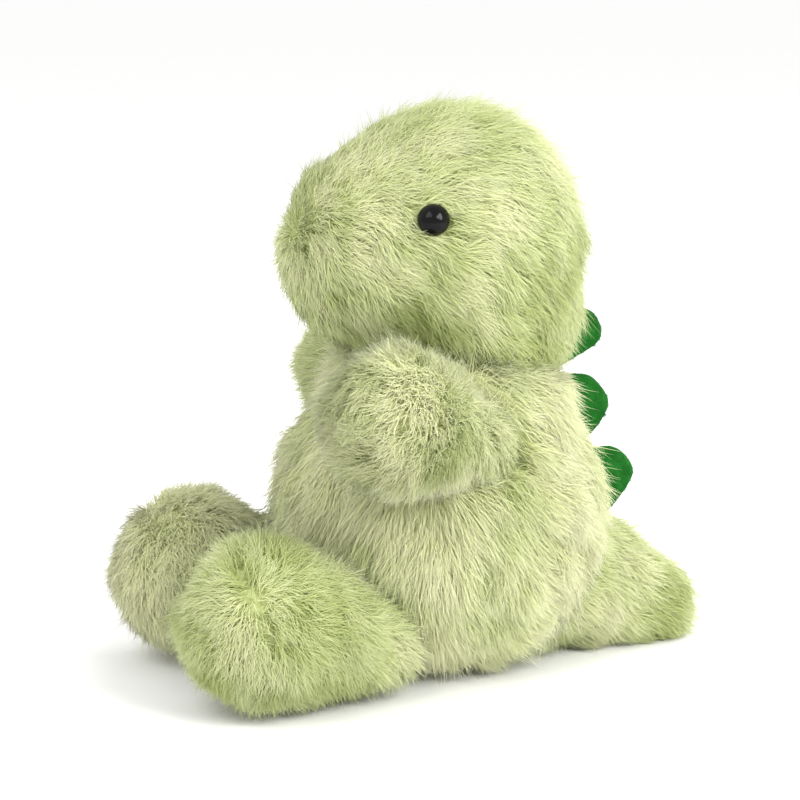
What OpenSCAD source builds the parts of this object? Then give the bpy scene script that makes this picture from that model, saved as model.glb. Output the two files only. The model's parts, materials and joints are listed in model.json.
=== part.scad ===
// Seated plush dinosaur: fur covers, stuffing, pellet pouch, safety eyes and felt back spikes.
// It faces -Y, its left side is +X, and it sits on the floor at z = 0.

/* [Body] */
// Radius of the seat and belly
belly_r = 54.5; // [50:0.5:58]
// Height of the belly's middle above the floor
belly_z = 50.6; // [48:0.2:54]
// Place of the belly's middle along Y
belly_y = -7.7; // [-10:0.1:-5]
// Radius of the chest
chest_r = 38.5; // [36:0.5:40]
// Height of the chest's middle
chest_z = 90; // [88:1:92]
// Place of the chest's middle along Y
chest_y = -2.5; // [-4:0.5:0]

/* [Head] */
// Radius of the skull
skull_r = 44.5; // [43:0.5:46]
// Height of the middle of skull and snout
skull_z = 138.5; // [136:0.5:141]
// Place of the skull's middle along Y
skull_y = -3.5; // [-4:0.5:0]
// Radius of the snout's rounded end
snout_r = 35.5; // [32:0.5:36]
// How far the snout's middle is ahead of the skull's
snout_reach = 25.5; // [22:0.5:27]
// Radius of the ball of the jaw and nape, which rolls in the collar
nape_r = 38; // [36:0.5:39]
// Height of the nape ball's middle, where the head turns and nods
nape_z = 119; // [118:1:121]
// Place of the nape ball's middle along Y
nape_y = 3; // [2:0.5:4]

/* [Arms] */
// Distance of each shoulder from the middle plane
shoulder_x = 36; // [35:0.5:38]
// Place of the shoulders along Y
shoulder_y = -10; // [-12:0.5:-8]
// Height of the shoulders
shoulder_z = 78; // [76:0.5:79]
// Radius of the arm at the shoulder
shoulder_r = 15; // [13:0.5:15.5]
// Radius of the paw
paw_r = 23.5; // [20:0.5:24]
// Distance from shoulder to the middle of the paw
arm_len = 40; // [38:1:44]
// How far the left arm points ahead of straight sideways, in degrees
left_arm_yaw = 59.5; // [45:0.5:62]
// How far the left arm points up, in degrees
left_arm_pitch = 16.5; // [14:0.5:20]
// How far the right arm points ahead of straight sideways, in degrees
right_arm_yaw = -10; // [-15:1:30]
// How far the right arm points up, in degrees
right_arm_pitch = 10; // [5:0.5:16]

/* [Legs] */
// Distance of each hip from the middle plane
hip_x = 33; // [31:0.5:35]
// Place of the hips along Y
hip_y = -46.7; // [-49:0.1:-45]
// Radius of the leg at the hip
hip_r = 23.5; // [21:0.5:24]
// Place of the middle of each foot along Y
foot_y = -81; // [-86:1:-80]
// Radius of each foot
foot_r = 28.3; // [26:0.1:29]
// How far each foot is pressed flat
foot_flat = 0.8; // [0.5:0.1:1.5]

/* [Tail] */
// Place of the tail's root along Y
tail_y = 31; // [30:0.5:33]
// Radius of the tail's root
tail_r = 28; // [25:0.5:28]
// Height of the middle of the tail's root
tail_z = 27; // [26:0.5:27]
// Place of the tail's end along Y
tail_end_y = 66; // [62:1:70]
// Radius of the tail's rounded end
tail_end_r = 19; // [15:0.5:20]
// Height of the middle of the tail's end
tail_end_z = 14; // [12:0.5:18]

/* [Felt spikes] */
// Thickness of the felt
felt_t = 2.4; // [1.5:0.1:3]
// Height of the middle spike above its seam
spike_h = 15.5; // [12:0.5:17]
// Height of the lower spike above its seam
low_spike_h = 17.5; // [14:0.5:18.5]
// Height of the spike at the nape
nape_spike_h = 15; // [11:0.5:15.5]
// How far each spike can flop to either side, in degrees
spike_flop = 25; // [15:1:30]

/* [Eyes] */
// Radius of the glossy dome
eye_r = 5; // [4:0.25:6]
// Angle of the eyes above the head's middle, in degrees
eye_rise = 17; // [15:1:28]
// Place of the eyes along Y
eye_y = -26.2; // [-27:0.2:-22]
// Radius of the eye's shank
shank_r = 1.8; // [1.4:0.1:2.2]

/* [Covers and filling] */
// Thickness of the fur fabric with its pile laid down
fur_t = 6; // [5:0.5:7]
// Gap between the pile cover and the stuffing inside it
fill_gap = 0.2; // [0.1:0.05:0.4]
// Gap between the ball of a limb and the place it turns in
turn_gap = 1; // [0.8:0.1:1.2]
// Thickness of the sewing thread
thread_d = 0.4; // [0.3:0.05:0.4]

/* [Pellet pouch] */
// Radius of the pouch of pellets in the seat
pouch_r = 16; // [12:0.5:17]
// Height of the pouch
pouch_h = 24; // [18:1:26]
// Radius of one pellet
pellet_r = 2.4; // [2:0.1:2.5]

/* [Hidden] */

$fn = 48;
body_fn = 36;         // facets round the balls that the body is wrapped on
fur = [0.76, 0.8, 0.6];
stuffing = [0.95, 0.95, 0.92];
felt = [0.13, 0.42, 0.16];
step = 7.5;           // degrees between the points of a rounded outline
huge = 400;           // larger than the whole toy

belly = [0, belly_y, belly_z];
chest = [0, chest_y, chest_z];
skull = [0, skull_y, skull_z];
snout = [0, skull_y - snout_reach, skull_z];
nape = [0, nape_y, nape_z];
tail_root = [0, tail_y, tail_z];
tail_end = [0, tail_end_y, tail_end_z];

function side_sign(side) = side == "left" ? 1 : -1;
function shoulder(side) = [side_sign(side) * shoulder_x, shoulder_y, shoulder_z];
function arm_yaw(side) = side == "left" ? left_arm_yaw : right_arm_yaw;
function arm_pitch(side) = side == "left" ? left_arm_pitch : right_arm_pitch;
function paw(side, lift = 0) = shoulder(side) + arm_len * [
    side_sign(side) * cos(arm_yaw(side)) * cos(arm_pitch(side) + lift),
    -sin(arm_yaw(side)) * cos(arm_pitch(side) + lift),
    sin(arm_pitch(side) + lift)];
function hip(side) = [side_sign(side) * hip_x, hip_y, hip_r - foot_flat];
function foot_rest_z() = foot_r - foot_flat;
// A foot turned up about its hip by lift degrees
function foot(side, lift = 0) = hip(side) + [0,
    (foot_y - hip_y) * cos(lift) + (foot_rest_z() - hip(side)[2]) * sin(lift),
    -(foot_y - hip_y) * sin(lift) + (foot_rest_z() - hip(side)[2]) * cos(lift)];
// The tail's end turned about its root by wag degrees
function tail_tip(wag = 0) = tail_root + [-(tail_end_y - tail_y) * sin(wag),
    (tail_end_y - tail_y) * cos(wag), tail_end_z - tail_z];

// Travel of the limbs that the body leaves room for, in degrees
arm_lifts = [-12, -4, 4, 12, 20];
leg_lifts = [-8, 0, 8, 16];
tail_wags = [-20, -7, 7, 20];

// Points of an arc about [0, rise], from angle a to angle b
function arc(r, rise, a, b) = let (n = ceil(abs(b - a) / step))
    [for (i = [0 : n]) let (t = a + (b - a) * i / n) [max(0, r * cos(t)), rise + r * sin(t)]];
// Half outline of two balls and the cone that wraps them, from angle a on the first ball
function pod_outline(r1, r2, span, a = -90) = let (lean = asin((r1 - r2) / span))
    concat(arc(r1, 0, a, lean), arc(r2, span, lean, 90));
function reversed(v) = [for (i = [len(v) - 1 : -1 : 0]) v[i]];

// Puts children that point up +Z at p, pointing towards q
module aimed(p, q) {
    d = q - p;
    translate(p) rotate([0, acos(d[2] / norm(d)), atan2(d[1], d[0])]) children();
}

// Solid of two balls and the cone between them
module pod(p, r1, q, r2) {
    aimed(p, q) rotate_extrude() polygon(pod_outline(r1, r2, norm(q - p)));
}

// Cover of such a solid, open at its root where it is sewn on and stuffed
module pod_cover(p, r1, q, r2, root_opening = 35) {
    span = norm(q - p);
    start = -90 + root_opening;
    aimed(p, q) rotate_extrude() polygon(concat(
        pod_outline(r1, r2, span, start),
        reversed(pod_outline(r1 - fur_t, r2 - fur_t, span, start))));
}

module ball(p, r) {
    translate(p) sphere(r);
}

module below(z) {
    translate([-huge / 2, -huge / 2, z - huge]) cube(huge);
}

// Smooth skin round two balls
module wrap(p, r1, q, r2) {
    hull() {
        ball(p, r1);
        ball(q, r2);
    }
}

module torso_form(grow = 0) {
    wrap(belly, belly_r + grow, chest, chest_r + grow);
}

// Room for the head over its whole travel: the nape's ball and the chin that sweeps round it
chin_dip = 12;        // degrees that the head bows
snout_out = norm([snout[1] - nape_y, snout[2] - nape_z]);
snout_angle = atan2(snout[2] - nape_z, nape_y - snout[1]);
chin_out = snout_out * cos(snout_angle - chin_dip);
chin_rise = snout_out * sin(snout_angle - chin_dip);
module head_room(grow = 0) {
    room_r = snout_r + turn_gap + grow;
    ball(nape, nape_r + turn_gap + grow);
    translate(nape) rotate_extrude() polygon(concat(
        [[0, chin_rise - room_r * 0.8]],
        [for (t = [-15 * step : step : 0])
            [chin_out + room_r * cos(t), chin_rise + room_r * sin(t)]],
        [[chin_out + room_r, huge / 4], [0, huge / 4]]));
}

// Room for the arms, the legs and the tail over their whole travel
module limb_room(grow = 0) {
    g = turn_gap + grow;
    for (side = ["left", "right"]) {
        for (lift = arm_lifts) wrap(shoulder(side), shoulder_r + g, paw(side, lift), paw_r + g);
        for (lift = leg_lifts) wrap(hip(side), hip_r + g, foot(side, lift), foot_r + g);
    }
    for (wag = tail_wags) wrap(tail_root, tail_r + g, tail_tip(wag), tail_end_r + g);
}

module head_form(grow = 0) {
    pod(skull, skull_r + grow, snout, snout_r + grow);
    ball(nape, nape_r + grow);
}

// Neck stuffing: a cap under the nape's ball, round the upright through its middle
neck_in = nape_r + turn_gap;
neck_out = neck_in + 6;
neck_half = 29;       // degrees from straight down to the cap's edge
module neck_cap(grow = 0) {
    edge = -90 + neck_half + 1.5 * grow;
    translate(nape) rotate_extrude() polygon(concat(
        arc(neck_out + grow, 0, -90, edge),
        arc(neck_in - grow, 0, edge, -90)));
}

// Felt spikes: seam is where the hinge line's upper and lower ends lie, in the Y and Z of x = 0
seam_depth = 3;       // how deep in the pile the spikes are sewn
nape_seam = [for (a = [-1, -33])
    [nape_y + (nape_r - seam_depth) * cos(a), nape_z + (nape_r - seam_depth) * sin(a)]];
upper_seam = [[33.6, 90], [40.2, 68.4]];
lower_seam = [[42, 65.6], [44.6, 46.6]];
tip_r = 3.6;          // radius of a spike's rounded tip

// Puts children drawn in X (down the seam) and Y (outwards) on the seam, centred on x = 0
module on_seam(seam, thickness) {
    d = seam[1] - seam[0];
    translate([-thickness / 2, seam[0][0], seam[0][1]])
        rotate([90, 0, 90]) rotate(atan2(d[1], d[0]))
            linear_extrude(thickness) children();
}

function seam_len(seam) = norm(seam[1] - seam[0]);

// A fin on its seam: its tip lies tip_at of the way down, and its rounded heel at the place heel
module spike_outline(base, h, tip_at, heel) {
    corner = 0.8;
    heel_r = 1.2;
    hull() {
        translate([corner, corner]) circle(corner, $fn = 16);
        translate([base - corner, corner]) circle(corner, $fn = 16);
        translate([base * tip_at, h - tip_r]) circle(tip_r, $fn = 32);
        translate([base * tip_at * 0.45, h * 0.62]) circle(h * 0.2, $fn = 24);
        translate([base * heel[0], h * heel[1]]) circle(heel_r, $fn = 16);
    }
}

module spike(seam, h, tip_at, heel = [0.92, 0.42]) {
    color(felt) on_seam(seam, felt_t) spike_outline(seam_len(seam), h, tip_at, heel);
}

// Parting in the pile, wide enough for a spike to flop either way
module spike_parting(seam) {
    d = seam[1] - seam[0];
    half = 9;
    opening = half * tan(spike_flop) + felt_t;
    length = seam_len(seam) + 2.4;
    translate([0, seam[0][0], seam[0][1]]) rotate([atan2(d[1], d[0]), 0, 0])
        translate([0, -1.2, 0]) rotate([-90, 0, 0]) linear_extrude(length) polygon([
            [-felt_t / 2 - 0.6, 0.6], [felt_t / 2 + 0.6, 0.6],
            [opening, -half], [-opening, -half]]);
}

// Eyes: a domed button on a shank that goes through the cover into a washer
eye_sink = 2.6;       // how far the dome sits down into the pile
dome_h = 4.6;
shank_len = 10;
washer_r = 5.5;
washer_t = 1.2;
washer_gap = 0.6;     // between the washer and the inside of the cover
head_lean = asin((skull_r - snout_r) / snout_reach);
eye_out = (skull_r - (skull_y - eye_y) * sin(head_lean)) / cos(head_lean);
function eye_spot(side) = [side_sign(side) * eye_out * cos(eye_rise), eye_y,
    skull_z + eye_out * sin(eye_rise)];
function eye_normal(side) = [side_sign(side) * cos(head_lean) * cos(eye_rise),
    -sin(head_lean), cos(head_lean) * sin(eye_rise)];

// Puts children that point out +Z at the eye, with z = 0 on the outside of the pile
module at_eye(side) {
    aimed(eye_spot(side), eye_spot(side) + eye_normal(side)) children();
}

module eye(side) {
    color([0.03, 0.03, 0.03]) at_eye(side) translate([0, 0, -eye_sink]) rotate_extrude() polygon(concat(
        [[0, -shank_len], [shank_r - 0.4, -shank_len], [shank_r, -shank_len + 0.6], [shank_r, 0]],
        [for (t = [0 : 10 : 90]) [eye_r * cos(t), 0.6 + (dome_h - 0.6) * sin(t)]]));
}

module eye_washer(side) {
    color("white") at_eye(side) translate([0, 0, -fur_t - washer_t - washer_gap]) difference() {
        cylinder(h = washer_t, r = washer_r);
        translate([0, 0, -1]) cylinder(h = washer_t + 2, r = shank_r + 0.1);
    }
}

module eye_pocket(side) {
    at_eye(side) {
        translate([0, 0, -eye_sink - 0.2]) cylinder(h = 12, r = eye_r + 0.4);
        translate([0, 0, -fur_t * 2]) cylinder(h = fur_t * 2, r = shank_r + 0.3);
    }
}

module eye_room(side) {
    at_eye(side) translate([0, 0, -fur_t - shank_len]) cylinder(h = shank_len + 5, r = washer_r + 0.4);
}

// Pouch of pellets in the seat
pouch = [0, -14, 8];
pouch_wall = 0.8;
module pouch_form(grow = 0) {
    corner = 6;
    r = pouch_r + grow;
    h = pouch_h + 2 * grow;
    translate(pouch - [0, 0, grow]) rotate_extrude() polygon(concat(
        [[0, 0]],
        [for (t = [-90 : 15 : 0]) [r - corner + corner * cos(t), corner + corner * sin(t)]],
        [for (t = [0 : 15 : 90]) [r - corner + corner * cos(t), h - corner + corner * sin(t)]],
        [[0, h]]));
}

// Angle of each seam's thread above the middle of its ball, in degrees
neck_tilt = 41;
shoulder_tilt = -34;
hip_tilt = -35;
tail_tilt = -12;

// A thread ring round the ball of a limb, in the gap that the ball turns in
module thread_ring(p, r, q, tilt) {
    color(fur) aimed(p, q) rotate_extrude()
        translate([(r + turn_gap / 2) * cos(tilt), (r + turn_gap / 2) * sin(tilt)])
            circle(thread_d / 2, $fn = 16);
}

// Openings in the covers of head and tail where they are sewn on and stuffed
neck_hole_r = 16;
tail_hole_r = 14;

module body_cover() {
    $fn = body_fn;
    color(fur) difference() {
        torso_form();
        difference() {
            torso_form(-fur_t);
            below(fur_t);
        }
        below(0);
        head_room();
        neck_cap(0.5);
        limb_room();
        spike_parting(upper_seam);
        spike_parting(lower_seam);
    }
}

chin_ease = 0.9;      // how far the stuffing gives way under the chin
module body_filling() {
    $fn = body_fn;
    color(stuffing) difference() {
        torso_form(-fur_t - fill_gap);
        below(fur_t + fill_gap);
        head_room(chin_ease);
        neck_cap(0.5);
        limb_room(0.2);
        pouch_form(0.3);
    }
}

module head_cover() {
    color(fur) difference() {
        head_form();
        head_form(-fur_t);
        translate(nape - [0, 0, nape_r + 5]) cylinder(h = nape_r, r = neck_hole_r);
        for (side = ["left", "right"]) eye_pocket(side);
        spike_parting(nape_seam);
    }
}

module head_filling() {
    color(stuffing) difference() {
        head_form(-fur_t - fill_gap);
        for (side = ["left", "right"]) eye_room(side);
    }
}

module arm_cover(side) {
    color(fur) pod_cover(shoulder(side), shoulder_r, paw(side), paw_r);
}

module arm_filling(side) {
    inset = fur_t + fill_gap;
    color(stuffing) pod(shoulder(side), shoulder_r - inset, paw(side), paw_r - inset);
}

module leg_cover(side) {
    color(fur) difference() {
        pod_cover(hip(side), hip_r, foot(side), foot_r);
        below(0);
    }
}

module leg_filling(side) {
    inset = fur_t + fill_gap;
    color(stuffing) pod(hip(side), hip_r - inset, foot(side), foot_r - inset);
}

// Groove round the tail's root for the foot of the lower spike, wherever the tail is turned
module spike_foot_room() {
    foot = lower_seam[1] - [tail_y, tail_z];
    translate(tail_root) rotate_extrude() translate(foot - [1.4, 1]) square([7.5, huge / 4]);
}

module tail_cover() {
    color(fur) difference() {
        pod(tail_root, tail_r, tail_end, tail_end_r);
        difference() {
            pod(tail_root, tail_r - fur_t, tail_end, tail_end_r - fur_t);
            below(fur_t);
        }
        below(0);
        aimed(tail_root, tail_root + tail_root - tail_end) cylinder(h = tail_r + 5, r = tail_hole_r);
        spike_foot_room();
    }
}

module tail_filling() {
    inset = fur_t + fill_gap;
    color(stuffing) difference() {
        pod(tail_root, tail_r - inset, tail_end, tail_end_r - inset);
        below(inset);
    }
}

module pellet_pouch() {
    color("beige") difference() {
        pouch_form();
        pouch_form(-pouch_wall);
        translate(pouch + [0, 0, pouch_h / 2]) cylinder(h = pouch_h, r = 3);
    }
}

module pellets() {
    pitch = 2 * pellet_r + 0.6;
    layers = floor((pouch_h - 2 * pouch_wall - 2) / pitch);
    color("white") for (k = [0 : layers - 1], ring = [0 : 2]) {
        count = ring == 0 ? 1 : 6 * ring;
        for (i = [0 : count - 1])
            ball(pouch + [ring * pitch * cos(360 * i / count), ring * pitch * sin(360 * i / count),
                pouch_wall + 0.6 + pellet_r + k * pitch], pellet_r);
    }
}

body_cover();
head_cover();
arm_cover("left");  // left_arm_cover
arm_cover("right");  // right_arm_cover
leg_cover("left");  // left_leg_cover
leg_cover("right");  // right_leg_cover
tail_cover();
body_filling();
color(stuffing) neck_cap(-0.1);  // neck_filling
head_filling();
arm_filling("left");  // left_arm_filling
arm_filling("right");  // right_arm_filling
leg_filling("left");  // left_leg_filling
leg_filling("right");  // right_leg_filling
tail_filling();
pellet_pouch();
pellets();
eye("left");  // left_eye
eye("right");  // right_eye
eye_washer("left");  // left_eye_washer
eye_washer("right");  // right_eye_washer
spike(nape_seam, nape_spike_h, 0.34, [0.86, 0.28]);  // nape_spike
spike(upper_seam, spike_h, 0.6);  // upper_back_spike
spike(lower_seam, low_spike_h, 0.45);  // lower_back_spike
thread_ring(nape, nape_r, nape - [0, 0, 1], neck_tilt);  // neck_thread
thread_ring(shoulder("left"), shoulder_r, paw("left"), shoulder_tilt);  // left_shoulder_thread
thread_ring(shoulder("right"), shoulder_r, paw("right"), shoulder_tilt);  // right_shoulder_thread
thread_ring(hip("left"), hip_r, foot("left"), hip_tilt);  // left_hip_thread
thread_ring(hip("right"), hip_r, foot("right"), hip_tilt);  // right_hip_thread
thread_ring(tail_root, tail_r, tail_end, tail_tilt);  // tail_thread
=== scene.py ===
"""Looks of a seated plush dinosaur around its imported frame: stuffed skins, a mesh pile and felt spikes."""

import json
import math

import bmesh
import bpy
import numpy as np
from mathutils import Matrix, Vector, noise


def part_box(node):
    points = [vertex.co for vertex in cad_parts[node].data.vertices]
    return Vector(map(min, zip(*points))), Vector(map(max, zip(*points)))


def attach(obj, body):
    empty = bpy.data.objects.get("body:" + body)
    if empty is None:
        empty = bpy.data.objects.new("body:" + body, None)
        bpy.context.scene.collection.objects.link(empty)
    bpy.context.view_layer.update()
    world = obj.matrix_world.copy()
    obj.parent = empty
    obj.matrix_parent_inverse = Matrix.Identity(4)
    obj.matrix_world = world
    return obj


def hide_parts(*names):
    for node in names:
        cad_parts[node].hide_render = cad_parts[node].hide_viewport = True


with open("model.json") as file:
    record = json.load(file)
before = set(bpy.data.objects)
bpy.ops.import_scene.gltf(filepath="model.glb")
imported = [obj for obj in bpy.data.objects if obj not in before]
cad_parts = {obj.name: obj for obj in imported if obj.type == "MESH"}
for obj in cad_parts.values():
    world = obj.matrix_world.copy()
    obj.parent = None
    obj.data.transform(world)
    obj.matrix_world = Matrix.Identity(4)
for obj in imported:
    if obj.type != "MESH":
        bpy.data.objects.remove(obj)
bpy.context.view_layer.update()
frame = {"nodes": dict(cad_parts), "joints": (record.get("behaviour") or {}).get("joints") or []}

MM = 0.001
INSET = 6.3 * MM  # from the outside of the laid pile down to the fabric's backing
COLLAR_IN = 2.5 * MM  # how far the collar lies inside the head's own outside
FLOOR_GAP = 1.2 * MM  # the least height of the fabric where the toy sits
TORSO_GAP = 4.6 * MM  # and under the torso, which the legs and the tail help to carry
LEVEL = 5  # icosphere subdivisions of a skin before it is puffed
PRESSURE = 4.0
PUFF_FRAMES = 20
PUFF_CAP = 1.6 * MM
PER_CLUMP = 7
DENSITY = 3.8e6  # strands to a square metre of fabric
MAX_STRANDS = 19500  # in one piece
ROUNDNESS = 0.8  # how far a strand's shading turns round it, against the pile's own
ROOT_DEPTH = 0.5 * MM  # how far below the fabric a strand starts
LOWEST = 0.5 * MM  # no strand reaches further down than this
STRAYS = 0.05  # share of the strands that stand up out of the lay
CLEAR = 2.2 * MM  # a stitch's distance from the backing of the limb that turns in it
PLY_R = 0.11 * MM  # of each of the two plies of the sewing thread
FELT_ROUND = 1.1 * MM  # how far in from its rim the felt reaches its full thickness
JOINTS = {j["name"]: np.array(j["pos_m"], float) for j in frame["joints"]}


# ---------------------------------------------------------------- forms


def corner_ball(node, r, signs):
    """Middle of the ball of radius r that fills one corner of a node's box."""
    lo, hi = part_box(node)
    return np.array([(hi[i] - r) if s > 0 else (lo[i] + r) for i, s in enumerate(signs)])


def mm(*v):
    return np.array(v, float) * MM


BELLY, BELLY_R = mm(0, -7.7, 50.6), 54.5 * MM
CHEST, CHEST_R = mm(0, -2.5, 90), 38.5 * MM
COLLAR_BASE = CHEST[2] - 6 * MM
SKULL, SKULL_R = mm(0, -5, 139.5), 44.5 * MM
SNOUT, SNOUT_R = mm(0, -29.5, 136.5), 34.8 * MM
NAPE, NAPE_R = JOINTS["neck_turn"], 38 * MM
SHOULDER_R, PAW_R = 15 * MM, 23.5 * MM
PAW_PUFF = 1.2 * MM  # the paw's fluff stands out further than its laid pile
HIP_R, FOOT_R = 23.5 * MM, 28.3 * MM
HIP_SLIM, FOOT_PUFF = 6.5 * MM, 1.3 * MM  # the slack thigh and the full foot, against the CAD's
TAIL_R, TAIL_END_R = 28 * MM, 19 * MM
TAIL_ROOT = JOINTS["tail_wag"]
TAIL_DROP = 15.5 * MM  # from the middle of the tail's root to that of its end
SHOULDER = {s: JOINTS[s + "_shoulder"] for s in ("left", "right")}
HIP = {s: JOINTS[s + "_hip"] for s in ("left", "right")}
HIP_SOFT = {s: HIP[s] + mm(0, 0, -5.5) for s in HIP}  # the leg's root as its stuffing sags
SIGN = {"left": 1, "right": -1}
PAW = {s: corner_ball(s + "_arm_cover", PAW_R, (SIGN[s], -1, 1)) for s in SIGN}
FOOT = {s: corner_ball(s + "_leg_cover", FOOT_R, (SIGN[s], -1, 1)) for s in SIGN}
TAIL_END = np.array(
    [0, corner_ball("tail_cover", TAIL_END_R, (1, 1, 1))[1] + 2.5 * MM, TAIL_ROOT[2] - TAIL_DROP]
)
PAW["left"] += mm(-1.5, -2.6, 2.4)
FOOT["right"] += mm(0, 0, 1.5)
# Ends of the left sole's seam, from the middle of the foot
SOLE_SEAM = np.array([[26.5, -8.3, 5.2], [10.0, -12.8, 23.2]]) * MM


def unit(v):
    return v / np.maximum(np.linalg.norm(v, axis=-1, keepdims=True), 1e-12)


def ball(p, c, r):
    return np.linalg.norm(p - c, axis=1) - r


def round_cone(p, a, ra, b, rb):
    """Signed distance to two balls and the cone that wraps them."""
    ba = b - a
    l2 = ba @ ba
    rr = ra - rb
    a2 = l2 - rr * rr
    pa = p - a
    y = pa @ ba
    z = y - l2
    x2 = ((pa * l2 - ba * y[:, None]) ** 2).sum(1)
    y2, z2 = y * y * l2, z * z * l2
    k = np.sign(rr) * rr * rr * x2
    at_b = np.sqrt(x2 + z2) / l2 - rb
    at_a = np.sqrt(x2 + y2) / l2 - ra
    side = (np.sqrt(x2 * a2 / l2) + y * rr) / l2 - ra
    return np.where(
        np.sign(z) * a2 * z2 > k, at_b, np.where(np.sign(y) * a2 * y2 < k, at_a, side)
    )


def smin(a, b, k):
    h = np.clip(0.5 + 0.5 * (b - a) / k, 0, 1)
    return b * (1 - h) + a * h - k * h * (1 - h)


def torso_form(p):
    return round_cone(p, BELLY, BELLY_R, CHEST, CHEST_R)


def head_form(p):
    return smin(round_cone(p, SKULL, SKULL_R, SNOUT, SNOUT_R), ball(p, NAPE, NAPE_R), 6 * MM)


def arm_form(side):
    return lambda p: round_cone(p, SHOULDER[side], SHOULDER_R, PAW[side], PAW_R + PAW_PUFF)


def leg_form(side):
    return lambda p: round_cone(p, HIP_SOFT[side], HIP_R - HIP_SLIM, FOOT[side], FOOT_R + FOOT_PUFF)


def tail_form(p):
    return round_cone(p, TAIL_ROOT, TAIL_R, TAIL_END, TAIL_END_R)


def neck_cap(p, grow):
    """The stuffing of the neck, a curved pad under the nape's ball."""
    d = p - NAPE
    rho = np.linalg.norm(d, axis=1)
    angle = np.arccos(np.clip(-d[:, 2] / np.maximum(rho, 1e-9), -1, 1))
    middle, half, spread = 42 * MM, 2.7 * MM, math.radians(28.5)
    return np.maximum(np.abs(rho - middle) - half - grow, rho * (angle - spread) - grow)


def torso_skin(p):
    """The torso inside its pile, with hollows where the head and the limbs are sewn on."""
    f = torso_form(p) + INSET
    f = np.maximum(f, -ball(p, NAPE, NAPE_R - COLLAR_IN))
    room = INSET - 2 * MM
    for side in SIGN:
        f = np.maximum(f, -(arm_form(side)(p) + room))
        f = np.maximum(f, -(leg_form(side)(p) + room))
    return np.maximum(f, -(tail_form(p) + room))


# ---------------------------------------------------------------- skins


def new_object(name, verts, faces):
    mesh = bpy.data.meshes.new(name)
    mesh.from_pydata([tuple(v) for v in verts], [], [tuple(f) for f in faces])
    mesh.update()
    obj = bpy.data.objects.new(name, mesh)
    bpy.context.scene.collection.objects.link(obj)
    return obj


def coords(mesh):
    co = np.zeros(len(mesh.vertices) * 3, np.float32)
    mesh.vertices.foreach_get("co", co)
    return co.reshape(-1, 3).astype(float)


def closed_object(name, verts, faces, mat):
    """A smooth closed mesh whose faces all look outwards."""
    obj = new_object(name, verts, faces)
    bm = bmesh.new()
    bm.from_mesh(obj.data)
    bmesh.ops.recalc_face_normals(bm, faces=bm.faces)
    bm.to_mesh(obj.data)
    bm.free()
    obj.data.shade_smooth()
    obj.data.materials.append(mat)
    return obj


def star_skin(name, f, centre, reach=0.13, level=LEVEL, rest_z=FLOOR_GAP):
    """Closed skin on the first zero of f along every direction from centre."""
    bm = bmesh.new()
    bmesh.ops.create_icosphere(bm, subdivisions=level, radius=1)
    mesh = bpy.data.meshes.new(name)
    bm.to_mesh(mesh)
    bm.free()
    dirs = unit(coords(mesh))
    near = np.zeros(len(dirs))
    far = np.full(len(dirs), reach)
    open_ = np.ones(len(dirs), bool)
    steps = np.linspace(0.002, reach, 110)
    for s in steps:
        out = f(centre + dirs * s) > 0
        hit = open_ & out
        far[hit] = s
        near[open_ & ~out] = s
        open_ &= ~out
    for _ in range(18):
        half = (near + far) / 2
        out = f(centre + dirs * half[:, None]) > 0
        far = np.where(out, half, far)
        near = np.where(out, near, half)
    co = centre + dirs * near[:, None]
    co[:, 2] = np.maximum(co[:, 2], rest_z)
    mesh.vertices.foreach_set("co", co.astype(np.float32).ravel())
    mesh.update()
    obj = bpy.data.objects.new(name, mesh)
    bpy.context.scene.collection.objects.link(obj)
    return obj


def puff(obj, held, rest_z):
    """Inflates a skin as cloth under pressure; held marks the points that are sewn or rest on something."""
    before = coords(obj.data)
    pins = obj.vertex_groups.new(name="sewn")
    pins.add([int(i) for i in np.flatnonzero(held)], 1.0, "REPLACE")
    cloth = obj.modifiers.new("puff", "CLOTH")
    s = cloth.settings
    s.quality = 4
    s.mass = 0.3
    s.use_pressure = True
    s.uniform_pressure_force = PRESSURE
    s.effector_weights.gravity = 0
    s.vertex_group_mass = pins.name
    scene = bpy.context.scene
    for f in range(1, PUFF_FRAMES + 1):
        scene.frame_set(f)
    dg = bpy.context.evaluated_depsgraph_get()
    after = coords(obj.evaluated_get(dg).data)
    obj.modifiers.clear()
    obj.vertex_groups.clear()
    scene.frame_set(1)
    move = after - before
    size = np.linalg.norm(move, axis=1, keepdims=True)
    move *= np.minimum(1, PUFF_CAP / np.maximum(size, 1e-9))
    co = before + np.nan_to_num(move)
    co[:, 2] = np.maximum(co[:, 2], rest_z)
    obj.data.vertices.foreach_set("co", co.astype(np.float32).ravel())
    obj.data.update()


def subdivide(obj):
    obj.modifiers.new("smooth", "SUBSURF").levels = 1
    dg = bpy.context.evaluated_depsgraph_get()
    mesh = bpy.data.meshes.new_from_object(obj.evaluated_get(dg))
    obj.modifiers.clear()
    obj.data = mesh
    mesh.name = obj.name
    mesh.shade_smooth()


def skin(name, f, centre, body, nodes, material):
    rest_z = TORSO_GAP if body == "torso" else FLOOR_GAP
    obj = star_skin(name, f, centre, rest_z=rest_z)
    co = coords(obj.data)
    resting = co[:, 2] < rest_z + 0.2 * MM
    sewn = np.zeros(len(co), bool)
    for other in SEWN_TO[name]:
        sewn |= other(co) < -INSET + 1 * MM
    puff(obj, resting | sewn, rest_z)
    subdivide(obj)
    obj.data.materials.append(material)
    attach(obj, body)
    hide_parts(*nodes)
    return obj


def even(size):
    """The same value at every point."""
    return lambda p, n: np.full(len(p), size)


# ---------------------------------------------------------------- pile


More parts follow.
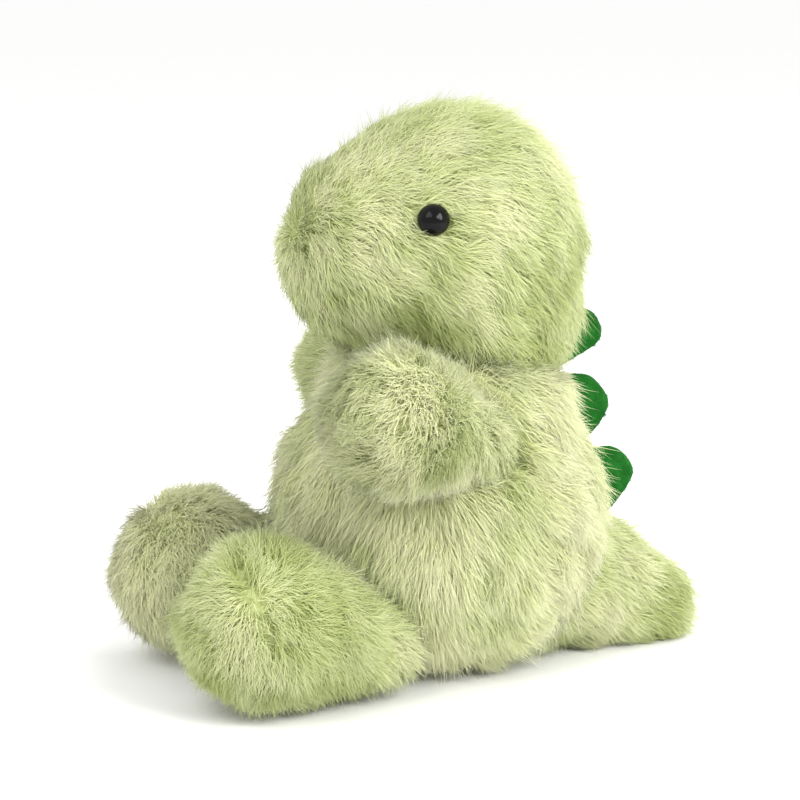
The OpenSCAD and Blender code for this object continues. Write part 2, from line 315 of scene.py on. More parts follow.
def sample(obj, count, rng):
    """Points and normals spread evenly by area over a mesh."""
    mesh = obj.data
    mesh.calc_loop_triangles()
    tri = np.zeros(len(mesh.loop_triangles) * 3, np.int32)
    mesh.loop_triangles.foreach_get("vertices", tri)
    tri = tri.reshape(-1, 3)
    co = coords(mesh)
    nor = np.zeros(len(co) * 3, np.float32)
    mesh.vertices.foreach_get("normal", nor)
    nor = nor.reshape(-1, 3)
    a, b, c = co[tri[:, 0]], co[tri[:, 1]], co[tri[:, 2]]
    area = np.linalg.norm(np.cross(b - a, c - a), axis=1) / 2
    pick = rng.choice(len(tri), count, p=area / area.sum())
    u, v = rng.random(count), rng.random(count)
    flip = u + v > 1
    u[flip], v[flip] = 1 - u[flip], 1 - v[flip]
    w = 1 - u - v
    t = tri[pick]
    p = co[t[:, 0]] * w[:, None] + co[t[:, 1]] * u[:, None] + co[t[:, 2]] * v[:, None]
    n = nor[t[:, 0]] * w[:, None] + nor[t[:, 1]] * u[:, None] + nor[t[:, 2]] * v[:, None]
    return p, unit(n)


def area_of(obj):
    return sum(p.area for p in obj.data.polygons)


def drift(p, size, seed, parts=5):
    """Smooth random field of about unit strength, with features of the given size."""
    rng = np.random.default_rng(seed)
    out = np.zeros(len(p))
    for _ in range(parts):
        k = unit(rng.normal(size=3)) * (2 * math.pi / (size * rng.uniform(0.7, 1.5)))
        out += np.sin(p @ k + rng.uniform(0, 2 * math.pi))
    return out / math.sqrt(parts / 2)


def strand_mesh(name, root, mid, tip, side, width, shade, normal):
    """Closed tapering strands of ten triangles, with a UV layer of shade across and root to tip along."""
    n = len(root)
    d1, d2 = unit(mid - root), unit(tip - mid)
    verts = np.zeros((n, 7, 3))
    lit = np.repeat(normal[:, None], 7, axis=1)
    for k in range(3):
        turn = 2 * math.pi * k / 3
        for ring, (p, d, w) in enumerate(((root, d1, width), (mid, unit(d1 + d2), width * 0.85))):
            up = unit(np.cross(d, side))
            out = side * math.cos(turn) + up * math.sin(turn)
            verts[:, ring * 3 + k] = p + out * w[:, None]
            lit[:, ring * 3 + k] += out * ROUNDNESS
    verts[:, 6] = tip
    pattern = [(0, 2, 1)]
    for k in range(3):
        m = (k + 1) % 3
        pattern += [(k, m, 3 + m), (k, 3 + m, 3 + k), (3 + k, 3 + m, 6)]
    pattern = np.array(pattern)
    faces = (np.arange(n)[:, None, None] * 7 + pattern[None]).reshape(-1)
    along = np.array([0, 0, 0, 0.5, 0.5, 0.5, 1.0])
    across = np.array([-1, 0, 1, -1, 0, 1, 0]) * 0.006
    uv = np.zeros((n, len(pattern), 3, 2))
    uv[..., 0] = 0.02 + 0.96 * shade[:, None, None] + across[pattern][None]
    uv[..., 1] = along[pattern][None]
    uv[:, 0, 1, 1] = 0.03
    mesh = bpy.data.meshes.new(name)
    mesh.vertices.add(n * 7)
    mesh.vertices.foreach_set("co", verts.astype(np.float32).ravel())
    count = n * len(pattern)
    mesh.loops.add(count * 3)
    mesh.loops.foreach_set("vertex_index", faces.astype(np.int32))
    mesh.polygons.add(count)
    mesh.polygons.foreach_set("loop_start", np.arange(0, count * 3, 3, dtype=np.int32))
    layer = mesh.uv_layers.new(name="OFBake")
    layer.data.foreach_set("uv", uv.astype(np.float32).ravel())
    mesh.update(calc_edges=True)
    mesh.shade_smooth()
    mesh.normals_split_custom_set_from_vertices(unit(lit).reshape(-1, 3).astype(np.float32))
    obj = bpy.data.objects.new(name, mesh)
    bpy.context.scene.collection.objects.link(obj)
    return obj


def grow(p, n, flow, length, rng, tone=0.0, lean=(52, 79), spread=1.9 * MM, width=0.14 * MM, frizz=14):
    """Strands of the clumps at p: root, middle, tip, side, width and shade of each."""
    count = len(p)
    flow = unit(flow - (flow * n).sum(1, keepdims=True) * n)
    clump_turn = np.radians(15) * drift(p, 14 * MM, 11) + np.radians(9) * rng.normal(size=count)
    clump_lean = 6 * drift(p, 17 * MM, 12) + 6 * rng.normal(size=count)
    clump_length = 1 + 0.1 * drift(p, 12 * MM, 13) + 0.1 * rng.normal(size=count)
    # Each clump's shade: random, plus the painted light and shade given to its part of the toy.
    clump_shade = 0.5 + tone + 0.09 * rng.normal(size=count)
    clump_shade += 0.1 * drift(p, 9 * MM, 14) + 0.17 * drift(p, 26 * MM, 15)

    def each(v):
        return np.repeat(v, PER_CLUMP, axis=0)

    p, n, flow, length = each(p), each(n), each(flow), each(length)
    m = len(p)
    cross = np.cross(n, flow)
    radius, angle = spread * np.sqrt(rng.random(m)), rng.uniform(0, 2 * math.pi, m)
    offset = flow * (radius * np.cos(angle))[:, None] + cross * (radius * np.sin(angle))[:, None]
    turn = each(clump_turn) + np.radians(frizz) * rng.normal(size=m)
    heading = flow * np.cos(turn)[:, None] + cross * np.sin(turn)[:, None]
    stray = rng.random(m) < STRAYS
    first = np.radians(np.clip(lean[0] + each(clump_lean) + 6 * rng.normal(size=m), 15, 80))
    second = lean[1] + each(clump_lean) + 7 * rng.normal(size=m) - 34 * stray
    second = np.radians(np.clip(second, 20, 92))
    size = length * each(clump_length) * rng.uniform(0.78, 1.16, m) * (1 + 0.18 * stray)
    half = (size / 2)[:, None]
    root = p + offset - n * ROOT_DEPTH
    mid = root + half * (n * np.cos(first)[:, None] + heading * np.sin(first)[:, None])
    tip = mid + half * (n * np.cos(second)[:, None] + heading * np.sin(second)[:, None])
    mid = mid - offset * 0.2
    tip = tip - offset * 0.62
    tip[:, 2] -= 0.07 * size
    for part in (root, mid, tip):
        part[:, 2] = np.maximum(part[:, 2], LOWEST)
    shade = np.clip(each(clump_shade) + 0.07 * rng.normal(size=m), 0, 1)
    wide = width * rng.uniform(0.8, 1.2, m)
    side = unit(np.cross(n, heading))
    return [root, mid, tip, side, wide, shade, n]


def off_the_eyes(strands):
    """Drops the strands that would cross the middle of an eye."""
    ok = np.ones(len(strands[0]), bool)
    for centre, normal in EYES.values():
        for part in (strands[0], (strands[0] + strands[1]) / 2, strands[1], strands[2]):
            d = part - centre
            out = d @ normal
            away = np.linalg.norm(d - out[:, None] * normal, axis=1)
            ok &= ~((away < EYE_R * 0.8) & (np.linalg.norm(d, axis=1) < 3 * EYE_R))
    return [s[ok] for s in strands]


def off_the_spikes(strands):
    """Drops the strands that start or bend in the box round a felt spike."""
    ok = np.ones(len(strands[0]), bool)
    for name in SPIKES:
        lo, hi = (np.array(v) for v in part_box(name))
        for part, room in ((strands[0], 0.2 * MM), (strands[1], 0.5 * MM)):
            inside = (part > lo - room).all(1) & (part < hi + room).all(1)
            ok &= ~inside
    return [s[ok] for s in strands]


def pile(skin_obj, body, flow, length, blocked, seed, clear=(), tone=even(0.0), **how):
    """Covers a skin with strands, in as many pieces as it needs."""
    rng = np.random.default_rng(seed)
    p, n = sample(skin_obj, int(area_of(skin_obj) * DENSITY / PER_CLUMP), rng)
    ok = ~blocked(p)
    seat = (p[:, 2] < 4 * MM) & (n[:, 2] < -0.7)
    ok &= ~seat | (rng.random(len(p)) < 0.12)
    p, n = p[ok], n[ok]
    # The part's painted light and shade goes into the shade of every clump.
    strands = grow(p, n, flow(p, n), length(p, n), rng, tone(p, n), **how)
    for test in clear:
        strands = test(strands)
    pieces = math.ceil(len(strands[0]) / MAX_STRANDS)
    base = skin_obj.name.replace("_skin", "_pile")
    for i in range(pieces):
        obj = strand_mesh(f"{base}_{i + 1}", *[s[i::pieces] for s in strands])
        obj.data.materials.append(PILE)
        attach(obj, body)


# ---------------------------------------------------------------- materials


def srgb(r, g, b):
    def lin(c):
        c /= 255
        return c / 12.92 if c <= 0.04045 else ((c + 0.055) / 1.055) ** 2.4

    return (lin(r), lin(g), lin(b), 1)


def material(name, roughness=0.7, specular=0.3):
    mat = bpy.data.materials.new(name)
    mat.use_nodes = True
    bsdf = mat.node_tree.nodes["Principled BSDF"]
    bsdf.inputs["Roughness"].default_value = roughness
    bsdf.inputs["Specular IOR Level"].default_value = specular
    return mat, mat.node_tree, bsdf


def add(tree, kind, **inputs):
    node = tree.nodes.new(kind)
    for key, value in inputs.items():
        node.inputs[key.replace("_", " ")].default_value = value
    return node


def ramp(tree, source, stops):
    node = tree.nodes.new("ShaderNodeValToRGB")
    elements = node.color_ramp.elements
    while len(elements) < len(stops):
        elements.new(0.5)
    for e, (at, colour) in zip(elements, stops):
        e.position = at
        e.color = colour
    tree.links.new(source, node.inputs["Fac"])
    return node.outputs["Color"]


def multiply(tree, a, b, share=1.0):
    node = tree.nodes.new("ShaderNodeMix")
    node.data_type = "RGBA"
    node.blend_type = "MULTIPLY"
    node.inputs["Factor"].default_value = share
    tree.links.new(a, node.inputs["A"])
    tree.links.new(b, node.inputs["B"])
    return node.outputs["Result"]


def object_noise(tree, scale, detail=4.0, stretch=(1, 1, 1), rough=0.55):
    where = tree.nodes.new("ShaderNodeTexCoord")
    place = tree.nodes.new("ShaderNodeMapping")
    place.inputs["Scale"].default_value = stretch
    tree.links.new(where.outputs["Object"], place.inputs["Vector"])
    node = add(tree, "ShaderNodeTexNoise", Scale=scale, Detail=detail, Roughness=rough)
    tree.links.new(place.outputs["Vector"], node.inputs["Vector"])
    return node.outputs["Fac"]


def bump(tree, bsdf, height, strength, distance):
    node = add(tree, "ShaderNodeBump", Strength=strength, Distance=distance)
    tree.links.new(height, node.inputs["Height"])
    tree.links.new(node.outputs["Normal"], bsdf.inputs["Normal"])


def pile_material():
    """Strands: dark at the root, pale at the tip, each its own shade, with fine streaks along."""
    mat, tree, bsdf = material("fur_pile", roughness=0.72, specular=0.22)
    bsdf.inputs["Sheen Weight"].default_value = 0.35
    bsdf.inputs["Sheen Roughness"].default_value = 0.45
    bsdf.inputs["Sheen Tint"].default_value = srgb(236, 240, 208)
    uv = tree.nodes.new("ShaderNodeUVMap")
    uv.uv_map = "OFBake"
    split = tree.nodes.new("ShaderNodeSeparateXYZ")
    tree.links.new(uv.outputs["UV"], split.inputs["Vector"])
    along = ramp(
        tree,
        split.outputs["Y"],
        [
            (0.0, srgb(202, 209, 150)),
            (0.3, srgb(218, 223, 168)),
            (0.65, srgb(232, 234, 190)),
            (1.0, srgb(248, 248, 220)),
        ],
    )
    # Across the UV: each strand's shade, random, with the painted light and shade of its part.
    shade = ramp(
        tree,
        split.outputs["X"],
        [
            (0.0, srgb(192, 202, 158)),
            (0.35, srgb(229, 235, 212)),
            (0.7, srgb(248, 248, 240)),
            (1.0, srgb(255, 253, 250)),
        ],
    )
    place = tree.nodes.new("ShaderNodeMapping")
    place.inputs["Scale"].default_value = (90, 5, 1)
    tree.links.new(uv.outputs["UV"], place.inputs["Vector"])
    streak = add(tree, "ShaderNodeTexNoise", Scale=1.0, Detail=3.0)
    tree.links.new(place.outputs["Vector"], streak.inputs["Vector"])
    fine = ramp(tree, streak.outputs["Fac"], [(0.3, srgb(226, 230, 214)), (0.7, srgb(255, 255, 255))])
    colour = multiply(tree, multiply(tree, along, shade), fine)
    tree.links.new(colour, bsdf.inputs["Base Color"])
    return mat


def skin_material():
    """Knitted backing with the short dense foot of the pile, seen only between the strands."""
    mat, tree, bsdf = material("fur_backing", roughness=0.95, specular=0.1)
    grain = object_noise(tree, 900, 5, (1, 1, 0.35))
    colour = ramp(
        tree, grain, [(0.3, srgb(158, 168, 106)), (0.55, srgb(184, 193, 132)), (0.8, srgb(208, 215, 160))]
    )
    tree.links.new(colour, bsdf.inputs["Base Color"])
    bump(tree, bsdf, grain, 0.8, 0.0006)
    return mat


def felt_material():
    """Pressed felt: mottled dark green with crossing fibres."""
    mat, tree, bsdf = material("felt", roughness=0.95, specular=0.12)
    bsdf.inputs["Sheen Weight"].default_value = 0.25
    bsdf.inputs["Sheen Tint"].default_value = srgb(120, 190, 110)
    blotch = object_noise(tree, 260, 3)
    fibre = object_noise(tree, 2600, 6, (1, 1, 0.3), 0.7)
    base = ramp(tree, blotch, [(0.3, srgb(22, 92, 30)), (0.7, srgb(40, 122, 44))])
    fuzz = ramp(tree, fibre, [(0.3, srgb(176, 196, 176)), (0.75, srgb(255, 255, 255))])
    tree.links.new(multiply(tree, base, fuzz), bsdf.inputs["Base Color"])
    bump(tree, bsdf, fibre, 0.7, 0.0004)
    return mat


def fibre_material():
    """Loose fibres on the felt, by the same UV as the pile."""
    mat, tree, bsdf = material("felt_fibre", roughness=0.9, specular=0.15)
    uv = tree.nodes.new("ShaderNodeUVMap")
    uv.uv_map = "OFBake"
    split = tree.nodes.new("ShaderNodeSeparateXYZ")
    tree.links.new(uv.outputs["UV"], split.inputs["Vector"])
    along = ramp(tree, split.outputs["Y"], [(0.0, srgb(24, 96, 32)), (1.0, srgb(58, 142, 58))])
    shade = ramp(tree, split.outputs["X"], [(0.0, srgb(170, 190, 170)), (1.0, srgb(255, 255, 255))])
    tree.links.new(multiply(tree, along, shade), bsdf.inputs["Base Color"])
    return mat


def eye_material():
    """Glossy black plastic with a faint cloudiness and fine handling marks."""
    mat, tree, bsdf = material("eye_plastic", roughness=0.12, specular=0.15)
    bsdf.inputs["Coat Weight"].default_value = 0.05
    bsdf.inputs["Coat Roughness"].default_value = 0.04
    cloud = object_noise(tree, 320, 3)
    colour = ramp(tree, cloud, [(0.35, srgb(4, 4, 5)), (0.7, srgb(14, 12, 10))])
    tree.links.new(colour, bsdf.inputs["Base Color"])
    marks = object_noise(tree, 5200, 4, (1, 0.2, 1))
    rough = tree.nodes.new("ShaderNodeMapRange")
    rough.inputs["To Min"].default_value = 0.06
    rough.inputs["To Max"].default_value = 0.2
    tree.links.new(marks, rough.inputs["Value"])
    tree.links.new(rough.outputs["Result"], bsdf.inputs["Roughness"])
    return mat


def fine_material(name, low, high, scale, stretch=(1, 1, 1), roughness=0.8, height=0.0002):
    """A two-tone fibrous or moulded surface for the parts inside."""
    mat, tree, bsdf = material(name, roughness=roughness)
    grain = object_noise(tree, scale, 4, stretch)
    tree.links.new(ramp(tree, grain, [(0.3, low), (0.7, high)]), bsdf.inputs["Base Color"])
    bump(tree, bsdf, grain, 0.5, height)
    return mat


def dress(node, mat):
    """Gives a CAD node that stays its material."""
    obj = frame["nodes"][node]
    obj.data.materials.clear()
    obj.data.materials.append(mat)


# ---------------------------------------------------------------- felt spikes


def hull_2d(points):
    """Convex outline of flat points, anticlockwise."""
    pts = sorted(set((round(float(a), 7), round(float(b), 7)) for a, b in points))

    def half(seq):
        out = []
        for p in seq:
            while len(out) > 1 and (out[-1][0] - out[-2][0]) * (p[1] - out[-2][1]) <= (
                out[-1][1] - out[-2][1]
            ) * (p[0] - out[-2][0]):
                out.pop()
            out.append(p)
        return out[:-1]

    return np.array(half(pts) + half(pts[::-1]))


def resample(loop, count):
    closed = np.vstack([loop, loop[:1]])
    run = np.concatenate([[0], np.cumsum(np.linalg.norm(np.diff(closed, axis=0), axis=1))])
    at = np.linspace(0, run[-1], count, endpoint=False)
    return np.stack([np.interp(at, run, closed[:, i]) for i in range(2)], 1)


def rounded(loop, window=9):
    """Softens the corners of a closed outline, as scissors leave them."""
    for _ in range(2):
        loop = sum(np.roll(loop, k, axis=0) for k in range(-(window // 2), window // 2 + 1)) / window
    return loop


def reach_out(name, rim):
    """Draws a spike's outline out along its seam and away from the back, as SPIKE_CUT says."""
    slide, stretch, taper, push = SPIKE_CUT[name]
    seam = np.array([j["axis"] for j in frame["joints"] if j["name"] == name.replace("spike", "flop")][0])
    down = unit(seam[1:]) * -np.sign(seam[2])
    d = rim - rim.mean(0)
    along = d @ down
    out = d - along[:, None] * down
    shrink = 1 - taper * np.clip(along / np.abs(along).max(), 0, 1)
    outward = np.array([-down[1], down[0]])
    outward *= np.sign(outward[0])
    past = np.clip(out @ outward, 0, None)
    out = out * shrink[:, None] + outward * (push * past / past.max())[:, None]
    return rim.mean(0) + down * slide + out + down * (along * stretch)[:, None]


def felt_spike(name, seed):
    """A felt plate on the CAD spike's own outline, with a soft rounded rim and a slight wave."""
    lo, hi = (np.array(v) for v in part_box(name))
    half_t = (hi[0] - lo[0]) / 2
    around, rings = 110, 16
    outline = resample(hull_2d(coords(frame["nodes"][name].data)[:, 1:]), around)
    rim = rounded(reach_out(name, outline))
    middle = rim.mean(0)
    shares = [i / rings for i in range(rings)]
    verts = []
    for share, face in [(s, 1) for s in shares] + [(s, -1) for s in shares[::-1]]:
        loop = rim + (middle - rim) * share
        depth = np.linalg.norm(loop - rim, axis=1)
        bulge = np.sqrt(np.clip(1 - (1 - np.clip(depth / FELT_ROUND, 0, 1)) ** 2, 0, 1))
        verts.append(np.column_stack([face * half_t * (0.12 + 0.88 * bulge), loop]))
    verts = np.vstack(verts)
    seam = JOINTS[name.replace("spike", "flop")]
    out = np.linalg.norm(verts[:, 1:] - seam[1:], axis=1)
    wave = np.array([noise.noise(Vector((seed, v[1] * 90, v[2] * 90))) for v in verts])
    rough = np.array([noise.noise(Vector(tuple(v * 1500))) for v in verts])
    verts[:, 0] += 0.9 * MM * wave * np.clip(out / (12 * MM), 0, 1) + 0.1 * MM * rough
    faces = []
    front, back = 0, rings * around
    for face, start in ((1, front), (-1, back)):
        index = [start + i * around for i in range(rings)][::face]
        for a, b in zip(index, index[1:]):
            for k in range(around):
                m = (k + 1) % around
                faces.append((a + k, a + m, b + m, b + k)[::face])
        inner, hub = index[-1], len(verts)
        verts = np.vstack([verts, verts[inner : inner + around].mean(0)])
        for k in range(around):
            faces.append((inner + k, inner + (k + 1) % around, hub)[::face])
    back += (rings - 1) * around
    for k in range(around):
        m = (k + 1) % around
        faces.append((front + k, back + k, back + m, front + m))
    obj = closed_object(name + "_felt", verts, faces, FELT)
    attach(obj, name)
    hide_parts(name)
    rng = np.random.default_rng(seed)
    p, n = sample(obj, 420, rng)
    flow = rng.normal(size=p.shape)
    strands = grow(p, n, flow, np.full(len(p), 1.5 * MM), rng, 0, (50, 80), 0.8 * MM, 0.05 * MM)
    strands[2] = strands[2] + rng.normal(size=strands[2].shape) * 0.25 * MM
    fuzz = strand_mesh(name + "_fibres", *strands)
    fuzz.data.materials.append(FIBRE)
    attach(fuzz, name)


# ---------------------------------------------------------------- sewing threads


def thread_ring(name, centre, toward, radius, tilt):
    """Two-ply sewing thread round the root of a limb, close to its backing."""
    axis = unit(toward - centre)
    side = unit(np.cross(axis, [0.31, 0.17, 0.93]))
    up = np.cross(axis, side)
    middle = centre + axis * radius * math.sin(tilt)
    ring_r, sides, around, twists = radius * math.cos(tilt), 6, 180, 60
    verts, faces = [], []
    for ply in (0, 1):
        start = len(verts)
        for i in range(around):
            a = 2 * math.pi * i / around
            out = side * math.cos(a) + up * math.sin(a)
            w = twists * a + math.pi * ply
            core = middle + out * (ring_r + PLY_R * math.cos(w)) + axis * PLY_R * math.sin(w)
            for k in range(sides):
                b = 2 * math.pi * k / sides
                verts.append(core + (out * math.cos(b) + axis * math.sin(b)) * PLY_R)
        for i in range(around):
            a, b = start + i * sides, start + (i + 1) % around * sides
            for k in range(sides):
                m = (k + 1) % sides
                faces.append((a + k, a + m, b + m, b + k))
    obj = closed_object(name + "_stitch", verts, faces, THREAD)
    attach(obj, "torso")
    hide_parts(name)


# ---------------------------------------------------------------- flows of the pile


def head_flow(p, n):
    start = SNOUT + mm(0, -SNOUT_R / MM * 0.9, 6)
    away = unit(p - start)
    down = np.zeros_like(p)
    down[:, 2] = -0.55 - 0.5 * np.clip((p[:, 1] - SKULL[1]) / SKULL_R, -0.6, 1)
    return away + down


def body_flow(p, n):
    back = np.clip((p[:, 1] + 28 * MM) / (40 * MM), -0.35, 0.85)
    side = 0.25 * np.sign(p[:, 0]) * np.clip(np.abs(p[:, 0]) / (30 * MM), 0, 1)
    flow = np.stack([side, back, np.full(len(p), -1.0)], 1)
    rim = collar(p)[:, None]
    out = unit(p * [1, 1, 0] - NAPE * [1, 1, 0]) + np.array([0, 0, 0.6])
    return flow * (1 - rim) + out * rim


def collar(p):
    """1 on the inner wall of the collar under the head, 0 on the torso's outside."""
    wall = np.clip((-INSET - torso_form(p)) / (2 * MM), 0, 1)
    return wall * (p[:, 2] > COLLAR_BASE)


# Painted shade: the head's pile a little darker all over, and darker still towards the lower part of the
# head.
def head_tone(p, n):
    low = np.clip((SKULL[2] + 4 * MM - p[:, 2]) / (30 * MM), 0, 1)
    return -0.1 - 0.2 * low


# Painted light: the torso's pile lighter all over to make up for the shade it falls in, with painted shade a
# little darker towards the front.
def body_tone(p, n):
    front = np.clip((-18 * MM - p[:, 1]) / (20 * MM), 0, 1)
    return 0.24 - 0.06 * front


def arm_flow(side):
    def flow(p, n):
        along = unit(PAW[side] - SHOULDER[side])
        out = unit(p - (PAW[side] - along * 8 * MM))
        return along * 0.9 + out * 0.4 + np.array([0, 0, -0.35])

    return flow


def sole_seam(side):
    """Middle of the short seam on the sole, its reach, and the direction across it."""
    ends = SOLE_SEAM * [SIGN[side], 1, 1]
    across = unit(np.cross(ends[0], ends[1])) * SIGN[side]
    return FOOT[side] + ends.mean(0), np.linalg.norm(ends[0] - ends[1]) / 2, across


def off_seam(p, side):
    """Signed distance across the sole's seam, and how much it is felt at each point."""
    middle, reach, across = sole_seam(side)
    s = (p - middle) @ across
    away = np.linalg.norm(p - middle, axis=1)
    return s, np.clip((reach * 1.5 - away) / (reach * 0.5), 0, 1)


def leg_flow(side):
    middle, _, across = sole_seam(side)

    def flow(p, n):
        s, near = off_seam(p, side)
        part = np.sign(s) * near * 1.5 * np.exp(-((s / (4 * MM)) ** 2))
        return unit(p - middle) + part[:, None] * across + np.array([0, 0, -0.35])

    return flow


# Painted light and shade of a leg: its side's painted value all over, with painted shade along the sole's
# seam where the pile parts.
def leg_tone(side, base):
    def tone(p, n):
        s, near = off_seam(p, side)
        return base - 0.3 * near * np.exp(-((s / (1.3 * MM)) ** 2))

    return tone


def part_the_sole(side):
    """Drops the strands that start on the sole's seam."""

    def test(strands):
        s, near = off_seam(strands[0], side)
        ok = (np.abs(s) > 0.55 * MM) | (near < 0.4)
        return [x[ok] for x in strands]

    return test


def tail_flow(p, n):
    return np.tile(unit(TAIL_END - TAIL_ROOT) + np.array([0, 0, -0.25]), (len(p), 1))


def near_spine(p):
    """1 beside the row of spikes, falling to 0 a little way round the back."""
    back = np.clip((p[:, 1] - 14 * MM) / (10 * MM), 0, 1)
    return back * np.clip(1.6 - np.abs(p[:, 0]) / (14 * MM), 0, 1)


def near_floor(p):
    return np.clip((16 * MM - p[:, 2]) / (16 * MM), 0, 1)


def body_length(p, n):
    return (12.8 - 7.0 * near_spine(p)) * (1 - 0.5 * near_floor(p)) * MM


def head_length(p, n):
    near = np.clip((p[:, 1] - (SNOUT[1] - SNOUT_R)) / (45 * MM), 0, 1)
    return (7.4 + 3.6 * near - 4.2 * near_spine(p) * (p[:, 2] < NAPE[2])) * MM


def leg_length(side):
    def length(p, n):
        sole = np.clip((FOOT[side][1] - p[:, 1]) / (14 * MM), 0, 1)
        return (9.4 - 2.0 * sole) * (1 - 0.4 * near_floor(p)) * MM

    return length


def under(*forms, deeper=0.0):
    """Tests whether points lie under the backing of any of these forms."""
    return lambda p: np.any([f(p) < -INSET - deeper + 0.5 * MM for f in forms], axis=0)


def torso_blocked(p):
    """Points in the torso's hollows, or under the head or a limb."""
    deep = INSET + np.where(p[:, 2] > COLLAR_BASE, 5 * MM, 1.5 * MM)
    return (torso_form(p) < -deep) | under(head_form, tail_form, *LIMBS)(p)


# ---------------------------------------------------------------- the toy

EYE_R = 5 * MM
# Where each seam runs round the ball at a limb's root: its latitude towards the limb
LIMB_SEAM, TAIL_SEAM, NECK_SEAM = math.radians(-34), math.radians(-12), math.radians(41)
SPIKES = ["nape_spike", "upper_back_spike", "lower_back_spike"]
# How far each spike slides down its seam, how much it is drawn out along it, its taper downwards
# and how far its tip is drawn out from the back
SPIKE_CUT = {
    "nape_spike": (4.8 * MM, 1.18, 0.22, 2.4 * MM),
    "upper_back_spike": (0.0, 1.12, 0.0, 2.0 * MM),
    "lower_back_spike": (3.0 * MM, 1.28, 0.0, 3.6 * MM),
}


def eye_axis(side):
    """Top of the eye's dome, and the way that the eye looks."""
    co = coords(frame["nodes"][side + "_eye"].data)
    look = unit(np.array([SIGN[side], -0.4, 0.3]))
    for _ in range(4):
        v = co @ look
        top, foot = co[v > v.max() - 0.4 * MM].mean(0), co[v < v.min() + 0.4 * MM].mean(0)
        look = unit(top - foot)
    return top, look


EYES = {s: eye_axis(s) for s in SIGN}
# Painted shading of the legs: painted shade on the near, left leg, and painted light on the far, right leg,
# which stands in shadow.
LEG_PAINTED_SHADING = {"left": -0.2, "right": 0.4}
LIMBS = [arm_form("left"), arm_form("right"), leg_form("left"), leg_form("right")]
SEWN_TO = {
    "body_skin": [head_form, tail_form, *LIMBS],
    "head_skin": [torso_form],
    "left_arm_skin": [torso_form],
    "right_arm_skin": [torso_form],
    "left_leg_skin": [torso_form],
    "right_leg_skin": [torso_form],
    "tail_skin": [torso_form],
}

PILE = pile_material()
BACKING = skin_material()
FELT = felt_material()
FIBRE = fibre_material()
WADDING = fine_material("wadding", srgb(222, 222, 214), srgb(246, 246, 240), 700, height=0.0005)


in_torso = under(torso_form, deeper=4 * MM)


def inset(form):
    return lambda p: form(p) + INSET


def furred(name, body, f, centre, nodes, fill, flow, length, blocked, seed, clear=(), **how):
    """One stuffed skin with its pile."""
    obj = skin(name, f, centre, body, nodes, BACKING)
    pile(obj, body, flow, length, blocked, seed, clear, **how)


furred(
    "body_skin", "torso", torso_skin, (BELLY * 2 + CHEST) / 3 + mm(0, -4, -8),
    ["body_cover", "body_filling"], 0.75, body_flow, body_length, torso_blocked, 21,
    [off_the_spikes], tone=body_tone,
)
furred(
    "head_skin", "head", inset(head_form), (SKULL + SNOUT + NAPE) / 3,
    ["head_cover", "head_filling"], 0.85, head_flow, head_length,
    under(torso_form, deeper=3 * MM), 22, [off_the_eyes, off_the_spikes],
    tone=head_tone,
)
for s in SIGN:
    furred(
        s + "_arm_skin", s + "_arm", inset(arm_form(s)), (SHOULDER[s] + PAW[s] * 2) / 3,
        [s + "_arm_cover", s + "_arm_filling"], 0.7, arm_flow(s), even(8.2 * MM),
        in_torso, 23 + SIGN[s], lean=(32, 54), frizz=30,
    )
    furred(
        s + "_leg_skin", s + "_leg", inset(leg_form(s)), (HIP[s] + FOOT[s] * 2) / 3,
        [s + "_leg_cover", s + "_leg_filling"], 0.8, leg_flow(s), leg_length(s),
        in_torso, 33 + SIGN[s], [part_the_sole(s)], lean=(42, 64), frizz=30,
        tone=leg_tone(s, LEG_PAINTED_SHADING[s]),
    )
furred(
    "tail_skin", "tail", inset(tail_form), (TAIL_ROOT * 2 + TAIL_END * 3) / 5,
    ["tail_cover", "tail_filling"], 0.75, tail_flow, even(10 * MM),
    in_torso, 41, [off_the_spikes],
    # painted shade: the tail's pile a little darker all over
    tone=even(-0.12),
)

neck = star_skin("neck_pad", lambda p: neck_cap(p, -0.2 * MM), NAPE - mm(0, 0, 42), 0.03, 4)
subdivide(neck)
neck.data.materials.append(WADDING)
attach(neck, "neck")
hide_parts("neck_filling")

for i, spike in enumerate(SPIKES):
    felt_spike(spike, 51 + i)

EYE = eye_material()
WASHER = fine_material("washer_plastic", srgb(226, 226, 222), srgb(246, 246, 244), 1500, roughness=0.4)
THREAD = fine_material("sewing_thread", srgb(170, 182, 120), srgb(206, 216, 160), 4000, (1, 1, 0.3))
POUCH = fine_material("pouch_weave", srgb(206, 196, 170), srgb(236, 228, 206), 3000, (1, 1, 0.25))
PELLET = fine_material("pellet_plastic", srgb(224, 228, 230), srgb(244, 246, 248), 900, roughness=0.35)
for s in SIGN:
    dress(s + "_eye", EYE)
    dress(s + "_eye_washer", WASHER)
    thread_ring(s + "_shoulder_thread", SHOULDER[s], PAW[s], SHOULDER_R - INSET + CLEAR, LIMB_SEAM)
    thread_ring(s + "_hip_thread", HIP_SOFT[s], FOOT[s], HIP_R - HIP_SLIM - INSET + CLEAR, LIMB_SEAM)
thread_ring("tail_thread", TAIL_ROOT, TAIL_END, TAIL_R - INSET + CLEAR, TAIL_SEAM)
thread_ring("neck_thread", NAPE, NAPE - mm(0, 0, 1), NAPE_R - INSET + CLEAR, NECK_SEAM)
dress("pellet_pouch", POUCH)
dress("pellets", PELLET)


# ---------------------------------------------------------------- stage

AZIMUTH, ELEVATION = math.radians(66.7), math.radians(10.6)
DISTANCE = 0.9
AIM_HEIGHT = 90 * MM
AIM_RIGHT, AIM_UP = -19.6 * MM, -4.4 * MM


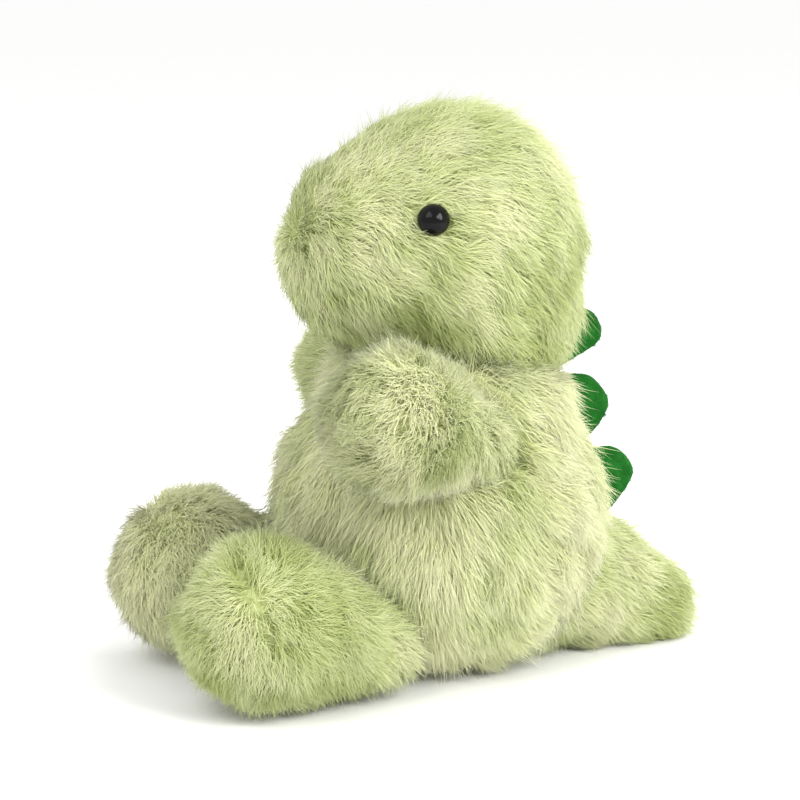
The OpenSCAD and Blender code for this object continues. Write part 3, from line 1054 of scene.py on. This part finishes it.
def camera():
    back = Vector(
        (
            math.sin(AZIMUTH) * math.cos(ELEVATION),
            -math.cos(AZIMUTH) * math.cos(ELEVATION),
            math.sin(ELEVATION),
        )
    )
    right = Vector((math.cos(AZIMUTH), math.sin(AZIMUTH), 0))
    up = back.cross(right)
    aim = Vector((0, 0, AIM_HEIGHT)) + right * AIM_RIGHT + up * AIM_UP
    data = bpy.data.cameras.new("camera")
    data.lens, data.sensor_width = 125, 36
    data.clip_start, data.clip_end = 0.05, 20
    cam = bpy.data.objects.new("camera", data)
    cam.location = aim + back * DISTANCE
    cam.rotation_mode = "QUATERNION"
    cam.rotation_quaternion = (-back).to_track_quat("-Z", "Y")
    bpy.context.scene.collection.objects.link(cam)
    bpy.context.scene.camera = cam
    return back, right


def soft_light(name, place, size, power, aim=(0, 0, 0.08)):
    data = bpy.data.lights.new(name, "AREA")
    data.shape = "DISK"
    data.size = size
    data.energy = power
    obj = bpy.data.objects.new(name, data)
    obj.location = place
    obj.rotation_mode = "QUATERNION"
    obj.rotation_quaternion = (Vector(aim) - Vector(place)).to_track_quat("-Z", "Y")
    bpy.context.scene.collection.objects.link(obj)


def studio():
    world = bpy.data.worlds.new("studio")
    world.use_nodes = True
    ground = world.node_tree.nodes["Background"]
    ground.inputs["Color"].default_value = (1, 1, 1, 1)
    ground.inputs["Strength"].default_value = 1.0
    bpy.context.scene.world = world
    back, right = camera()
    soft_light("key", back * 0.8 + right * 0.75 + Vector((0, 0, 0.6)), 0.7, 13)
    soft_light("fill", back * 0.9 - right * 0.6 + Vector((0, 0, 0.9)), 0.8, 5)
    soft_light("rim", -back * 0.6 + right * 0.6 + Vector((0, 0, 0.7)), 0.6, 4)
    side = 14.0
    floor = new_object(
        "floor", [(-side, -side, 0), (side, -side, 0), (side, side, 0), (-side, side, 0)], [(0, 1, 2, 3)]
    )
    mat, tree, bsdf = material("floor_paper", roughness=0.9, specular=0.1)
    grain = object_noise(tree, 40, 3)
    tree.links.new(
        ramp(tree, grain, [(0.3, (0.965, 0.965, 0.96, 1)), (0.7, (0.98, 0.98, 0.975, 1))]),
        bsdf.inputs["Base Color"],
    )
    floor.data.materials.append(mat)
    view = bpy.context.scene.view_settings
    view.view_transform = "Standard"
    view.look = "None"
    view.exposure = 0
    view.gamma = 1


studio()
